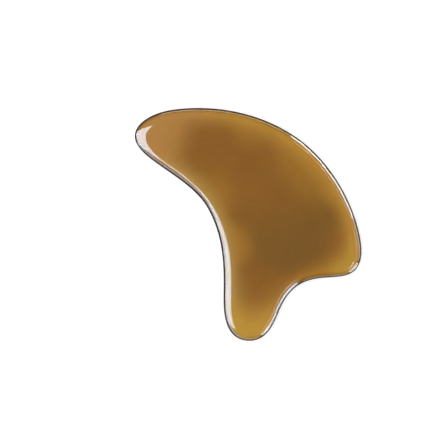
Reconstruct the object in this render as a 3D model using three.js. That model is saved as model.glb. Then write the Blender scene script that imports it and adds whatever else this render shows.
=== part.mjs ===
// A gua sha scraper: one flat board of translucent amber horn resin, polished all round.
// The board is a single solid with no hole, cord, hinge or fastener.
// Millimetres, +Z up. It lies on its underside, and its origin is the bottom centre of its box.

import * as THREE from 'three';

// ---- driving dimensions, mm ----
const THICKNESS = 5;          // from flat face to flat face
const EDGE_WIDTH = 4.8;       // how far the rounded edge reaches in from the rim
const RIM_LAND = 0.4;         // upright band round the rim, between the two rounded halves
const EDGE_FACETS = 7;        // facets across each rounded half
const FACETS_PER_CURVE = 16;  // facets along each curve of the outline

// ---- finish ----
const AMBER = 0x966a2e;
const POLISHED = 0.15;

// The outline goes clockwise, seen from above, as one smooth Bezier curve between each two places.
// heading: the way the outline runs there, in degrees anticlockwise from +X.
// before, after: the lengths of the curve's handles on the two sides of the place, in mm.
const BEAK = { x: -43.3, y: 35.7, heading: 72, before: 10.4, after: 4.7 };    // slim rounded end
const CROWN = { x: -29.1, y: 44, heading: 8, before: 6.3, after: 21.4 };      // start of the long back
const BACK = { x: 26.1, y: 26.9, heading: -46, before: 18.6, after: 21 };     // middle of the back
const HEEL = { x: 43.4, y: -12, heading: -98, before: 5.2, after: 16.5 };     // broad round corner
const NOTCH = { x: 12.1, y: -32.6, heading: -113, before: 23.2, after: 5.3 }; // way out of the notch
const FOOT = { x: -0.3, y: -44.7, heading: 176, before: 7.8, after: 8.5 };    // rounded lower end
const STEM = { x: -9.5, y: -27.3, heading: 89, before: 7.6, after: 11.1 };    // nearly straight side
const HOLLOW = { x: -15.5, y: 6.1, heading: 119, before: 12.7, after: 15.3 }; // long concave side

const OUTLINE = [BEAK, CROWN, BACK, HEEL, NOTCH, FOOT, STEM, HOLLOW];

// The point a handle's length away from a place, ahead along its heading or back against it.
function handle(place, length) {
  const heading = THREE.MathUtils.degToRad(place.heading);
  return [place.x + length * Math.cos(heading), place.y + length * Math.sin(heading)];
}

function boardOutline() {
  const shape = new THREE.Shape();
  shape.moveTo(OUTLINE[0].x, OUTLINE[0].y);
  OUTLINE.forEach((from, i) => {
    const to = OUTLINE[(i + 1) % OUTLINE.length];
    shape.bezierCurveTo(...handle(from, from.after), ...handle(to, -to.before), to.x, to.y);
  });
  return shape;
}

// Flat on both faces, with an edge that is half an ellipse from face to face.
function boardGeometry() {
  const geometry = new THREE.ExtrudeGeometry(boardOutline(), {
    depth: RIM_LAND,
    steps: 1,
    curveSegments: FACETS_PER_CURVE,
    bevelEnabled: true,
    bevelThickness: (THICKNESS - RIM_LAND) / 2,
    bevelSize: EDGE_WIDTH,
    bevelOffset: -EDGE_WIDTH,
    bevelSegments: EDGE_FACETS,
  });
  return geometry.center();
}

function scraperBoard() {
  const material = new THREE.MeshStandardMaterial({
    color: AMBER,
    roughness: POLISHED,
    metalness: 0,
  });
  const mesh = new THREE.Mesh(boardGeometry(), material);
  mesh.name = 'scraper_board';
  mesh.position.z = THICKNESS / 2;
  return mesh;
}

const scraper = new THREE.Group();
scraper.add(scraperBoard());

export default scraper;
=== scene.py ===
"""Looks for a gua sha scraper: one flat board of polished, translucent amber horn resin.

Blender 4.5, metres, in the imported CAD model's frame: the board lies flat on its underside at z = 0.
"""

import math

import bmesh
import bpy
import numpy as np
from mathutils import Matrix, Vector
from mathutils.geometry import delaunay_2d_cdt


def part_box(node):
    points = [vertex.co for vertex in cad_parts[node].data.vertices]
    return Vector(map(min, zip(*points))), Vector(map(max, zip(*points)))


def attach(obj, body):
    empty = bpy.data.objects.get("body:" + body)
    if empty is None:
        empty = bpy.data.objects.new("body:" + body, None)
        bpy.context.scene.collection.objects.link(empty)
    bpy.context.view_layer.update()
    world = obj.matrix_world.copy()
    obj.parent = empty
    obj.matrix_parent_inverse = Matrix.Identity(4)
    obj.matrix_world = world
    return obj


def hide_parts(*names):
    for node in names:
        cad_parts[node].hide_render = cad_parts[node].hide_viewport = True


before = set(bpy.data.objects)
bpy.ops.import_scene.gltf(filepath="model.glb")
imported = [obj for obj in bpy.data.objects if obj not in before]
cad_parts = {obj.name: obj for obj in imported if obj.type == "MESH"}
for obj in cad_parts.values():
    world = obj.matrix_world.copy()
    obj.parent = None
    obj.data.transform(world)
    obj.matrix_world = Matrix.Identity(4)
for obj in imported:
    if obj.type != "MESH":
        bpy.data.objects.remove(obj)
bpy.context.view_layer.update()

MM = 0.001
BOARD = "scraper_board"

# ---- the board's shape ----
LOW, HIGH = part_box(BOARD)
HALF_THICKNESS = (HIGH.z - LOW.z) / 2
MIDDLE_Z = (HIGH.z + LOW.z) / 2
BOARD_MIDDLE = np.array([(LOW.x + HIGH.x) / 2, (LOW.y + HIGH.y) / 2])
EDGE_WIDTH = 4.8 * MM       # how far the rounded edge reaches in from the rim
# Where the hand-ground edge reaches further in, or less far: place from the middle of the board in mm,
# how far that carries in mm, share.
REACH_CHANGES = {
    "beak": ((-43, 37), 9, 0.40),
    "under_beak": ((-38, 26), 7, -0.16),
    "hollow": ((-18, 8), 17, -0.46),
    "foot": ((-1, -45), 16, -0.18),
    "heel": ((41, -16), 9, 0.32),
}
RIM_POINTS = 640            # round the outline
EDGE_RINGS = 16             # across each rounded half
FACE_SPACING = 1.3 * MM     # between the points of the flat faces
BORDER_GAP = 0.6 * FACE_SPACING     # kept clear between those points and the face's border
SPLINE_SAMPLES = 16         # on each stretch, to measure the outline's length
SAME_PLACE = 0.001 * MM     # closer than this is the same place

# ---- the resin ----
GLOW_REACH = 5.0 * MM       # how far in the light from the rim carries
CLEAR_LAND = 0.4 * MM       # the outermost rim, clear all the way
CLEAR_WIDTH = 1.6 * MM      # over which the clearness fades out, further in
CLEAR_FADE = 1.6            # how soon it fades: above 1, most of it goes first
RIM_GAIN, RIM_START, RIM_FADE = 2.1, 0.7, 1.4   # turn the rim's light into the share of the lighter rim tones, a painted glow
DEPTH_SEEN = 90 * MM        # how deep a look goes before the glow painted into the resin takes over
# the painted glow's colour: the resin gives off this light itself
PAINTED_HELD_LIGHT = (0.85, 0.55, 0.19, 1)
ARC_CENTRE = (-8 * MM, -12 * MM)    # of the long back, which the growth streaks follow
STREAK_STEP = 1.2 * MM      # the streaks' coordinate per radian, which draws them out along the arcs
RUDDY = (1.02, 0.98, 0.95)  # drifts the horn's colour towards red here and there
PAINTED_RIM_SHADE = (0.05, 0.045, 0.04)      # painted shade: the dark line that the steepest part of the rim shows
POLISH = 0.02               # the least roughness
HORN_IOR = 1.56

# Colours of the horn, as screen values.
DARK_HORN = (125, 90, 40)
BROWN_HORN = (140, 95, 40)
AMBER_HORN = (160, 115, 45)
GOLD_HORN = (180, 135, 55)
HONEY_HORN = (185, 145, 60)
PALE_HORN = (175, 140, 75)
ROSY_HORN = (175, 130, 70)

# Where each colour lies: place from the middle of the board in mm, how far it carries in mm, colour.
CORE_TONES = {
    "beak": ((-34, 34), 8, ROSY_HORN),
    "shoulder": ((-12, 27), 13, BROWN_HORN),
    "crown": ((0, 36), 5, AMBER_HORN),
    "back": ((24, 22), 9, AMBER_HORN),
    "hollow_side": ((-14, 14), 6, AMBER_HORN),
    "middle": ((10, 10), 10, BROWN_HORN),
    "heart": ((17, -5), 12, DARK_HORN),
    "heel": ((36, -9), 6, BROWN_HORN),
    "stem_side": ((-6, -8), 5, AMBER_HORN),
    "stem": ((4, -26), 8, BROWN_HORN),
    "foot": ((0, -40), 6, AMBER_HORN),
}
# Painted light: lighter tones by the rim, standing in for the glow of light that comes through the thin
# rim; listed the same way.
PAINTED_RIM_GLOW_TONES = {
    "beak": ((-35, 35), 15, ROSY_HORN),
    "back": ((25, 25), 25, GOLD_HORN),
    "heel": ((42, -16), 8, HONEY_HORN),
    "notch": ((20, -24), 10, AMBER_HORN),
    "foot": ((0, -44), 10, HONEY_HORN),
    "hollow": ((-15, 0), 20, PALE_HORN),
}

# ---- the camera ----
CAMERA_DISTANCE = 0.45      # above the middle of the board
FRAME_WIDTH = 172.1 * MM    # what the frame takes in at that distance
SENSOR = 36.0
VIEW_CENTRE = Vector((-9.27 * MM, 0.15 * MM))

# ---- the floor, in metres ----
FLOOR_FLAT = 1.2            # how far out it is flat
FLOOR_MIDDLE = 0.5          # radius of the ring of points inside the flat part
FLOOR_RISE = 1.5            # radius of its curve upwards
FLOOR_TOP = 2.0             # top of the wall
FLOOR_AROUND = 96           # points round it
FLOOR_CURVE = 13            # points up the curve, both ends included
FLOOR_DROP = 0.1 * MM       # below the board
FLOOR_GREY = 0.4
FLOOR_GLOW = 0.70
FLOOR_ROUGHNESS = 0.9

# ---- the lights ----
COOL = (0.76, 0.89, 1.0)
COOLER = (0.67, 0.84, 1.0)
COOLEST = (0.61, 0.78, 1.0)
BLUE = (0.42, 0.72, 1.0)
WARM = (1.0, 0.92, 0.7)
WARMER = (1.0, 0.9, 0.65)
WHITE = (1, 1, 1)

# The room's grey by how high the direction looks, from 0 level to 1 straight up.
ROOM_GREYS = ((0.0, 0.05), (0.03, 0.5), (0.17, 0.5), (0.22, 0.15), (0.6, 0.05))


# ---------------------------------------------------------------- outline

def rim_corners():
    """The CAD board's outline at its widest, as points in order, in metres."""
    solid = bmesh.new()
    solid.from_mesh(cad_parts[BOARD].data)
    bmesh.ops.remove_doubles(solid, verts=solid.verts, dist=SAME_PLACE)
    level = min(v.co.z for v in solid.verts if v.co.z > MIDDLE_Z)
    on_rim = {v for v in solid.verts if abs(v.co.z - level) < SAME_PLACE}
    start = min(on_rim, key=lambda v: (v.co.x, v.co.y))
    loop, previous = [start], None
    while True:
        here = loop[-1]
        ahead = [
            e.other_vert(here)
            for e in here.link_edges
            if e.other_vert(here) in on_rim and e.other_vert(here) is not previous
        ]
        step = ahead[0] if previous else max(ahead, key=lambda v: v.co.y)
        if step is start:
            break
        previous = here
        loop.append(step)
    points = np.array([v.co[:2] for v in loop])
    solid.free()
    return points


def smooth_outline(corners, count):
    """Evenly spaced points on the closed cubic spline through the corners, and its outward normals."""
    n = len(corners)
    chord = np.linalg.norm(np.roll(corners, -1, axis=0) - corners, axis=1)
    before = np.roll(chord, 1)
    # second derivatives of the closed spline, from its continuity at each corner
    system = np.diag(2 * (before + chord))
    for i in range(n):
        system[i, i - 1] += before[i]
        system[i, (i + 1) % n] += chord[i]
    rise = (np.roll(corners, -1, axis=0) - corners) / chord[:, None]
    bend = np.linalg.solve(system, 6 * (rise - np.roll(rise, 1, axis=0)))

    def spline(i, t):
        """Position and direction at t, from 0 to 1, on the stretch after corner i."""
        j = (i + 1) % n
        h, a, b = chord[i][:, None], (1 - t)[:, None], t[:, None]
        at = (
            a * corners[i] + b * corners[j]
            + h * h / 6 * ((a ** 3 - a) * bend[i] + (b ** 3 - b) * bend[j])
        )
        along = (corners[j] - corners[i]) / h + h / 6 * (
            (1 - 3 * a * a) * bend[i] + (3 * b * b - 1) * bend[j]
        )
        return at, along

    fine_i = np.repeat(np.arange(n), SPLINE_SAMPLES)
    fine_t = np.tile(np.arange(SPLINE_SAMPLES) / SPLINE_SAMPLES, n)
    fine, _ = spline(fine_i, fine_t)
    length = np.linalg.norm(np.roll(fine, -1, axis=0) - fine, axis=1)
    travelled = np.concatenate([[0], np.cumsum(length)])
    wanted = np.arange(count) / count * travelled[-1]
    place = np.interp(wanted, travelled, np.arange(len(travelled))) / SPLINE_SAMPLES
    i = np.minimum(place.astype(int), n - 1)
    at, along = spline(i, place - i)
    along /= np.linalg.norm(along, axis=1)[:, None]
    clockwise = np.sum(at[:, 0] * np.roll(at[:, 1], -1) - at[:, 1] * np.roll(at[:, 0], -1)) < 0
    side = -1 if clockwise else 1
    outward = side * np.stack([along[:, 1], -along[:, 0]], axis=1)
    return at, outward


# ---------------------------------------------------------------- mesh

def edge_section():
    """The rounded edge from the rim to the flat face: (share of the reach, how far above the middle)."""
    turn = np.linspace(0, math.pi / 2, EDGE_RINGS + 1)
    return np.stack([1 - np.cos(turn), HALF_THICKNESS * np.sin(turn)], axis=1)


def edge_reach(outline):
    """How far in the rounding reaches at each point of the outline."""
    reach = np.ones(len(outline))
    for (x, y), carry, share in REACH_CHANGES.values():
        away = np.linalg.norm(outline - BOARD_MIDDLE - np.array([x, y]) * MM, axis=1)
        reach += share * np.exp(-(away / (carry * MM)) ** 2)
    return EDGE_WIDTH * reach


def face_fill(loop):
    """Triangles that fill a closed loop, with evenly spaced points inside it.

    Gives the points, the triangles, and for each point which of the given points it came from.
    """
    low, high = loop.min(axis=0), loop.max(axis=0)
    row_height = FACE_SPACING * math.sqrt(3) / 2
    inside = []
    for r in range(int((high[1] - low[1]) / row_height) + 1):
        y = low[1] + r * row_height
        xs = np.arange(low[0] + (r % 2) * FACE_SPACING / 2, high[0], FACE_SPACING)
        inside += [(x, y) for x in xs]
    inside = np.array(inside)
    gap = np.linalg.norm(inside[:, None, :] - loop[None, ::4, :], axis=2).min(axis=1)
    inside = inside[gap > BORDER_GAP]
    points = [Vector(p) for p in np.concatenate([loop, inside])]
    ring = list(range(len(loop)))
    edges = [(i, (i + 1) % len(loop)) for i in ring]
    verts, _, faces, origin, _, _ = delaunay_2d_cdt(points, edges, [ring], 1, 1e-9)
    return np.array(verts), [list(f) for f in faces], origin


def edge_rings(outline, reach):
    """Points and faces from the upper face's border, over the rim, to the lower face's border."""
    section = edge_section()
    stations = [(share, z) for share, z in section[::-1]] + [(share, -z) for share, z in section[1:]]
    coords = []
    for share, z in stations:
        ring = outline - reach * share
        coords += [(x, y, MIDDLE_Z + z) for x, y in ring]
    faces = []
    for s in range(len(stations) - 1):
        for i in range(RIM_POINTS):
            j = (i + 1) % RIM_POINTS
            a, b = s * RIM_POINTS, (s + 1) * RIM_POINTS
            faces.append((a + i, b + i, b + j, a + j))
    return coords, faces


def close_face(coords, faces, fill, z, first):
    """Adds a flat face at height z, sharing the ring of points that starts at first."""
    flat, triangles, origin = fill
    index = []
    for k, (x, y) in enumerate(flat):
        from_loop = [o for o in origin[k] if o < RIM_POINTS]
        if from_loop:
            index.append(first + from_loop[0])
        else:
            index.append(len(coords))
            coords.append((x, y, z))
    faces += [tuple(index[v] for v in t) for t in triangles]


def board_mesh():
    """The whole board as one closed, smooth mesh, and its outline."""
    outline, outward = smooth_outline(rim_corners(), RIM_POINTS)
    reach = outward * edge_reach(outline)[:, None]
    coords, faces = edge_rings(outline, reach)
    last_ring = len(coords) - RIM_POINTS
    fill = face_fill(outline - reach)
    close_face(coords, faces, fill, MIDDLE_Z + HALF_THICKNESS, 0)
    close_face(coords, faces, fill, MIDDLE_Z - HALF_THICKNESS, last_ring)
    mesh = bpy.data.meshes.new("board")
    mesh.from_pydata(coords, [], faces)
    tidy = bmesh.new()
    tidy.from_mesh(mesh)
    bmesh.ops.recalc_face_normals(tidy, faces=tidy.faces)
    tidy.to_mesh(mesh)
    tidy.free()
    mesh.shade_smooth()
    return mesh, outline


def add_attribute(mesh, name, values):
    """Stores one number for each point of the mesh."""
    layer = mesh.attributes.new(name, "FLOAT", "POINT")
    layer.data.foreach_set("value", values.astype(np.float32))


def measure_rim(mesh, outline):
    """Marks how much light reaches each point from the thin rim, and how clear the rim is there."""
    at = np.array([v.co[:2] for v in mesh.vertices])
    far = np.linalg.norm(at[:, None, :] - outline[None, :, :], axis=2)
    step = np.linalg.norm(np.roll(outline, -1, axis=0) - outline, axis=1).mean()
    add_attribute(mesh, "rim_glow", np.exp(-far / GLOW_REACH).sum(axis=1) * step / (2 * GLOW_REACH))
    inset = far.min(axis=1)
    beyond = np.maximum(inset - CLEAR_LAND, 0)
    add_attribute(mesh, "rim_clear", np.clip(1 - beyond / CLEAR_WIDTH, 0, 1) ** CLEAR_FADE)


def srgb(r, g, b):
    """A colour given as 0 to 255 screen values, in linear light."""
    linear = [((c / 255 + 0.055) / 1.055) ** 2.4 if c > 10 else c / 255 / 12.92 for c in (r, g, b)]
    return (*linear, 1)


def blended(at, tones):
    """The tones' colours, each strongest at its own place."""
    pull = []
    for (x, y), carry, _ in tones.values():
        away = np.linalg.norm(at - BOARD_MIDDLE - np.array([x, y]) * MM, axis=1)
        pull.append(np.exp(-(away / (carry * MM)) ** 2))
    pull = np.stack(pull, axis=1)
    colours = np.array([srgb(*colour) for _, _, colour in tones.values()])
    return pull @ colours / pull.sum(axis=1)[:, None]


def paint_tones_and_rim_glow(mesh):
    """Stores the horn's slow changes of colour in the core, and by the rim lighter tones that are
    painted light: the glow of light coming through the thin rim.
    """
    at = np.array([v.co[:2] for v in mesh.vertices])
    glow = np.empty(len(at), dtype=np.float32)
    mesh.attributes["rim_glow"].data.foreach_get("value", glow)
    painted_glow_share = np.clip(glow * RIM_GAIN - RIM_START, 0, 1)[:, None] ** RIM_FADE
    colour = blended(at, CORE_TONES) * (1 - painted_glow_share) + blended(at, PAINTED_RIM_GLOW_TONES) * painted_glow_share
    layer = mesh.attributes.new("horn_tone_and_painted_glow", "FLOAT_COLOR", "POINT")
    layer.data.foreach_set("color", colour.astype(np.float32).ravel())


board_data, board_outline = board_mesh()
measure_rim(board_data, board_outline)
paint_tones_and_rim_glow(board_data)
board = bpy.data.objects.new("horn_board", board_data)
bpy.context.scene.collection.objects.link(board)
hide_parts(BOARD)
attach(board, "root")


# ---------------------------------------------------------------- material

def add_node(tree, kind, **settings):
    """A new node, with its properties and, by name, its input values set."""
    node = tree.nodes.new(kind)
    for name, value in settings.items():
        if hasattr(node, name):
            setattr(node, name, value)
        else:
            node.inputs[name.replace("_", " ")].default_value = value
    return node


def maths(tree, operation, first, second):
    """A Math node of two values, each a socket or a number."""
    node = add_node(tree, "ShaderNodeMath", operation=operation)
    for socket, value in zip(node.inputs, (first, second)):
        if isinstance(value, (int, float)):
            socket.default_value = value
        else:
            tree.links.new(value, socket)
    return node.outputs[0]


def scaled(tree, value, low, high, start=0.0, end=1.0):
    """The value from low..high spread over start..end, and held there."""
    node = add_node(tree, "ShaderNodeMapRange")
    for name, number in (("From Min", low), ("From Max", high), ("To Min", start), ("To Max", end)):
        node.inputs[name].default_value = number
    tree.links.new(value, node.inputs["Value"])
    return node.outputs["Result"]


def noise(tree, vector, size, detail=2.0, distortion=0.0):
    """Noise whose patches measure about size, from 0 to 1."""
    node = add_node(tree, "ShaderNodeTexNoise", Scale=1 / size, Detail=detail, Distortion=distortion)
    tree.links.new(vector, node.inputs["Vector"])
    return node.outputs["Fac"]


def stored(tree, name):
    """The outputs of the mesh attribute with this name."""
    return add_node(tree, "ShaderNodeAttribute", attribute_name=name).outputs


def growth_coordinates(tree, place):
    """Coordinates that run across and, about forty times slower near the back, along its arcs."""
    centred = add_node(tree, "ShaderNodeVectorMath", operation="SUBTRACT")
    tree.links.new(place, centred.inputs[0])
    centred.inputs[1].default_value = (ARC_CENTRE[0], ARC_CENTRE[1], 0)
    parts = add_node(tree, "ShaderNodeSeparateXYZ")
    tree.links.new(centred.outputs[0], parts.inputs[0])
    x, y, z = parts.outputs
    squares = maths(tree, "ADD", maths(tree, "MULTIPLY", x, x), maths(tree, "MULTIPLY", y, y))
    radius = maths(tree, "SQRT", squares, 0.0)
    along = maths(tree, "MULTIPLY", maths(tree, "ARCTAN2", y, x), STREAK_STEP)
    joined = add_node(tree, "ShaderNodeCombineXYZ")
    tree.links.new(radius, joined.inputs[0])
    tree.links.new(along, joined.inputs[1])
    tree.links.new(z, joined.inputs[2])
    return joined.outputs[0]


def horn_colour(tree, place, growth):
    """The slow tones, lighter by the rim with painted glow, with growth streaks, drifting clouds and
    fine mottling in the horn.
    """
    streaks = scaled(tree, noise(tree, growth, 1.6 * MM, 3.0), 0.3, 0.7, 0.98, 1.02)
    clouds = scaled(tree, noise(tree, place, 9 * MM, 3.0, 0.8), 0.3, 0.7, 0.965, 1.035)
    mottle = scaled(tree, noise(tree, place, 0.9 * MM, 2.0), 0.3, 0.7, 0.985, 1.015)
    light = maths(tree, "MULTIPLY", maths(tree, "MULTIPLY", streaks, clouds), mottle)
    lit = add_node(tree, "ShaderNodeVectorMath", operation="SCALE")
    tree.links.new(stored(tree, "horn_tone_and_painted_glow")["Color"], lit.inputs[0])
    tree.links.new(light, lit.inputs["Scale"])
    ruddy = add_node(tree, "ShaderNodeVectorMath", operation="MULTIPLY")
    tree.links.new(lit.outputs[0], ruddy.inputs[0])
    ruddy.inputs[1].default_value = RUDDY
    mixed = add_node(tree, "ShaderNodeMix", data_type="VECTOR")
    drift = scaled(tree, noise(tree, place, 14 * MM, 2.0, 1.2), 0.4, 0.65)
    tree.links.new(drift, mixed.inputs["Factor"])
    tree.links.new(lit.outputs[0], mixed.inputs[4])
    tree.links.new(ruddy.outputs[0], mixed.inputs[5])
    return mixed.outputs[1]


def painted_rim_shade(tree, colour, clear):
    """Painted shade: the colour, brought down to a dark neutral in the outermost, steepest part of the
    rim.
    """
    mixed = add_node(tree, "ShaderNodeMix", data_type="VECTOR")
    tree.links.new(scaled(tree, clear, 0.65, 0.92, 0.0, 0.92), mixed.inputs["Factor"])
    tree.links.new(colour, mixed.inputs[4])
    mixed.inputs[5].default_value = PAINTED_RIM_SHADE
    return mixed.outputs[1]


def horn_roughness(tree, place, growth, clear):
    """Polished, with faint smudges, fine hairlines along the grain and a little wear at the rim."""
    inside = scaled(tree, stored(tree, "rim_glow")["Fac"], 0.55, 0.85, 1.0, 0.0)
    smudges = scaled(tree, noise(tree, place, 11 * MM, 3.0, 0.5), 0.45, 0.75, 0.0, 0.05)
    hairlines = scaled(tree, noise(tree, growth, 0.12 * MM, 0.0), 0.66, 0.8, 0.0, 0.07)
    handled = maths(tree, "MULTIPLY", inside, maths(tree, "ADD", smudges, hairlines))
    worn = scaled(tree, noise(tree, place, 2.5 * MM), 0.55, 0.75, 0.0, 0.02)
    wear = maths(tree, "MULTIPLY", clear, worn)
    return maths(tree, "ADD", maths(tree, "ADD", handled, wear), POLISH)


def horn_bump(tree, place, growth):
    """The long, barely visible waves that polishing by hand leaves, and the hairlines."""
    waves = noise(tree, place, 13 * MM, 1.0)
    lines = maths(tree, "MULTIPLY", noise(tree, growth, 0.5 * MM, 1.0), 0.002)
    bump = add_node(tree, "ShaderNodeBump", Strength=0.35, Distance=0.05 * MM)
    tree.links.new(maths(tree, "ADD", waves, lines), bump.inputs["Height"])
    return bump.outputs["Normal"]


def horn_material():
    """Polished horn: coloured and slightly translucent within, clear at the rim, with painted shade on
    the rim's outermost part and painted glow by the rim and within.
    """
    material = bpy.data.materials.new("amber_horn")
    material.use_nodes = True
    tree = material.node_tree
    shader = tree.nodes["Principled BSDF"]
    place = add_node(tree, "ShaderNodeTexCoord").outputs["Object"]
    growth = growth_coordinates(tree, place)
    clear = stored(tree, "rim_clear")["Fac"]
    colour = painted_rim_shade(tree, horn_colour(tree, place, growth), clear)
    tree.links.new(colour, shader.inputs["Base Color"])
    tree.links.new(clear, shader.inputs["Transmission Weight"])
    tree.links.new(horn_roughness(tree, place, growth, clear), shader.inputs["Roughness"])
    tree.links.new(horn_bump(tree, place, growth), shader.inputs["Normal"])
    shader.inputs["IOR"].default_value = HORN_IOR
    shader.inputs["Subsurface Weight"].default_value = 0.5
    shader.inputs["Subsurface Radius"].default_value = (1.0, 0.5, 0.2)
    shader.inputs["Subsurface Scale"].default_value = 2 * MM
    add_depth_and_painted_glow(material)
    return material


def add_depth_and_painted_glow(material):
    """Painted glow: the resin gives off light of its own, in place of light held inside it; a look into
    the rim grows from dark to amber with the depth seen.
    """
    nodes, links = material.node_tree.nodes, material.node_tree.links
    absorb = nodes.new("ShaderNodeVolumeAbsorption")
    absorb.inputs["Color"].default_value = (0.0, 0.0, 0.0, 1)
    absorb.inputs["Density"].default_value = 1 / DEPTH_SEEN
    glow = nodes.new("ShaderNodeEmission")
    glow.inputs["Color"].default_value = PAINTED_HELD_LIGHT
    glow.inputs["Strength"].default_value = 1 / DEPTH_SEEN
    both = nodes.new("ShaderNodeAddShader")
    links.new(absorb.outputs[0], both.inputs[0])
    links.new(glow.outputs[0], both.inputs[1])
    links.new(both.outputs[0], nodes["Material Output"].inputs["Volume"])


board.data.materials.append(horn_material())


# ---------------------------------------------------------------- studio

def add_camera():
    """A camera that looks straight down."""
    data = bpy.data.cameras.new("camera")
    data.sensor_width = SENSOR
    data.lens = SENSOR * CAMERA_DISTANCE / FRAME_WIDTH
    camera = bpy.data.objects.new("camera", data)
    camera.location = (VIEW_CENTRE.x, VIEW_CENTRE.y, MIDDLE_Z + CAMERA_DISTANCE)
    bpy.context.scene.collection.objects.link(camera)
    bpy.context.scene.camera = camera


def add_panel(name, azimuth, top, bottom, right, left, radiance, tint=WHITE):
    """A rectangular softbox that faces the board.

    azimuth: where it stands, in degrees anticlockwise from +X. top, bottom: how far out and how high its
    upper and lower edges are. right, left: how far it reaches to each side, seen from the board.
    """
    turn = math.radians(azimuth)
    outward = Vector((math.cos(turn), math.sin(turn), 0))
    across = Vector((-math.sin(turn), math.cos(turn), 0))
    upper = outward * top[0] + Vector((0, 0, top[1]))
    lower = outward * bottom[0] + Vector((0, 0, bottom[1]))
    up = (upper - lower).normalized()
    middle = (upper + lower) / 2 + across * (left - right) / 2
    width, height = right + left, (upper - lower).length
    data = bpy.data.lights.new(name, "AREA")
    data.shape = "RECTANGLE"
    data.size, data.size_y = width, height
    data.energy = radiance * math.pi * width * height
    data.color = tint
    light = bpy.data.objects.new(name, data)
    turned = Matrix((across, up, across.cross(up))).transposed().to_4x4()
    light.matrix_world = Matrix.Translation(middle) @ turned
    light.visible_camera = False
    light.visible_transmission = False
    bpy.context.scene.collection.objects.link(light)
    return light


def floor_profile():
    """The floor's section from the middle outwards: (how far out, how high)."""
    profile = [(0.0, 0.0), (FLOOR_MIDDLE, 0.0), (FLOOR_FLAT, 0.0)]
    for turn in np.linspace(0, math.pi / 2, FLOOR_CURVE)[1:]:
        profile.append((FLOOR_FLAT + FLOOR_RISE * math.sin(turn), FLOOR_RISE * (1 - math.cos(turn))))
    profile.append((FLOOR_FLAT + FLOOR_RISE, FLOOR_TOP))
    return profile


def floor_mesh():
    """The floor's section turned once round."""
    profile = floor_profile()
    around = FLOOR_AROUND
    verts = [(0, 0, -FLOOR_DROP)]
    for r, z in profile[1:]:
        for k in range(around):
            turn = 2 * math.pi * k / around
            verts.append((r * math.cos(turn), r * math.sin(turn), z - FLOOR_DROP))
    faces = [(0, 1 + k, 1 + (k + 1) % around) for k in range(around)]
    for ring in range(len(profile) - 2):
        a, b = 1 + ring * around, 1 + (ring + 1) * around
        faces += [(a + k, b + k, b + (k + 1) % around, a + (k + 1) % around) for k in range(around)]
    mesh = bpy.data.meshes.new("floor")
    mesh.from_pydata(verts, [], faces)
    mesh.shade_smooth()
    return mesh


def floor_material():
    """Matt grey that also gives off a weak even light, so that the ground comes out white."""
    material = bpy.data.materials.new("pale_floor")
    material.use_nodes = True
    shader = material.node_tree.nodes["Principled BSDF"]
    shader.inputs["Base Color"].default_value = (FLOOR_GREY, FLOOR_GREY, FLOOR_GREY, 1)
    shader.inputs["Roughness"].default_value = FLOOR_ROUGHNESS
    shader.inputs["Specular IOR Level"].default_value = 0.0
    shader.inputs["Emission Color"].default_value = (1, 1, 1, 1)
    shader.inputs["Emission Strength"].default_value = FLOOR_GLOW
    return material


def add_floor():
    """A pale round floor that curves up into a low wall."""
    mesh = floor_mesh()
    mesh.materials.append(floor_material())
    floor = bpy.data.objects.new("floor", mesh)
    bpy.context.scene.collection.objects.link(floor)
    floor.visible_glossy = False
    floor.visible_transmission = False


def add_world():
    """A dim room with a pale strip of wall low down all round, for the gloss to mirror."""
    world = bpy.data.worlds.new("studio")
    world.use_nodes = True
    nodes, links = world.node_tree.nodes, world.node_tree.links
    direction = nodes.new("ShaderNodeTexCoord")
    parts = nodes.new("ShaderNodeSeparateXYZ")
    links.new(direction.outputs["Generated"], parts.inputs[0])
    ramp = nodes.new("ShaderNodeValToRGB")
    stops = ramp.color_ramp.elements
    stops[1].position = ROOM_GREYS[1][0]
    for where, _ in ROOM_GREYS[2:]:
        stops.new(where)
    for stop, (_, grey) in zip(stops, ROOM_GREYS):
        stop.color = (grey, grey, grey, 1)
    links.new(parts.outputs["Z"], ramp.inputs["Fac"])
    links.new(ramp.outputs["Color"], nodes["Background"].inputs["Color"])
    bpy.context.scene.world = world


def add_studio():
    """The soft lights. The panels are only seen in the gloss, and the fill only lights evenly."""
    add_world()
    panels = [
        add_panel("left_panel_upper", 170, (0.19, 0.41), (0.32, 0.264), 0.17, 0.30, 11.5, COOLER),
        add_panel("left_panel_lower", 170, (0.32, 0.264), (0.5, 0.06), 0.15, 0.30, 13.0, COOLEST),
        add_panel("left_skirt", 222, (1.2, 0.5), (1.2, -0.1), 0.50, 0.45, 4.4, BLUE),
        add_panel("top_skirt", 82, (1.2, 0.37), (1.2, 0.18), 0.75, 0.65, 7.0, WARM),
        add_panel("foot_skirt", 262, (1.2, 0.42), (1.2, -0.25), 0.50, 0.85, 2.8, WARMER),
        add_panel("back_right_panel", 37, (1.0, 0.45), (1.0, 0.0), 0.38, 0.36, 15.0, COOL),
        add_panel("front_right_panel", 321, (1.0, 0.5), (1.0, 0.345), 0.31, 0.30, 26.0, COOL),
        add_panel("front_right_strip", 321, (1.0, 0.19), (1.0, 0.03), 0.31, 0.30, 28.0, COOL),
        add_panel("right_skirt", 0, (1.0, 0.36), (1.0, 0.05), 0.30, 0.30, 6.0, COOL),
        add_panel("back_right_line", 38, (0.596, 0.563), (0.604, 0.549), 0.20, 0.20, 38.0, COOL),
        add_panel("right_line", 0, (0.626, 0.505), (0.634, 0.482), 0.22, 0.22, 16.0, COOL),
        add_panel("front_right_line", 318, (0.546, 0.597), (0.554, 0.583), 0.17, 0.17, 36.0, COOL),
    ]
    for panel in panels:
        panel.visible_diffuse = False
    fill = add_panel("overhead_fill", 180, (-0.1, 1.2), (0.9, 1.0), 0.7, 0.7, 3.05)
    fill.visible_glossy = False
    bpy.context.scene.view_settings.view_transform = "Standard"


add_camera()
add_floor()
add_studio()
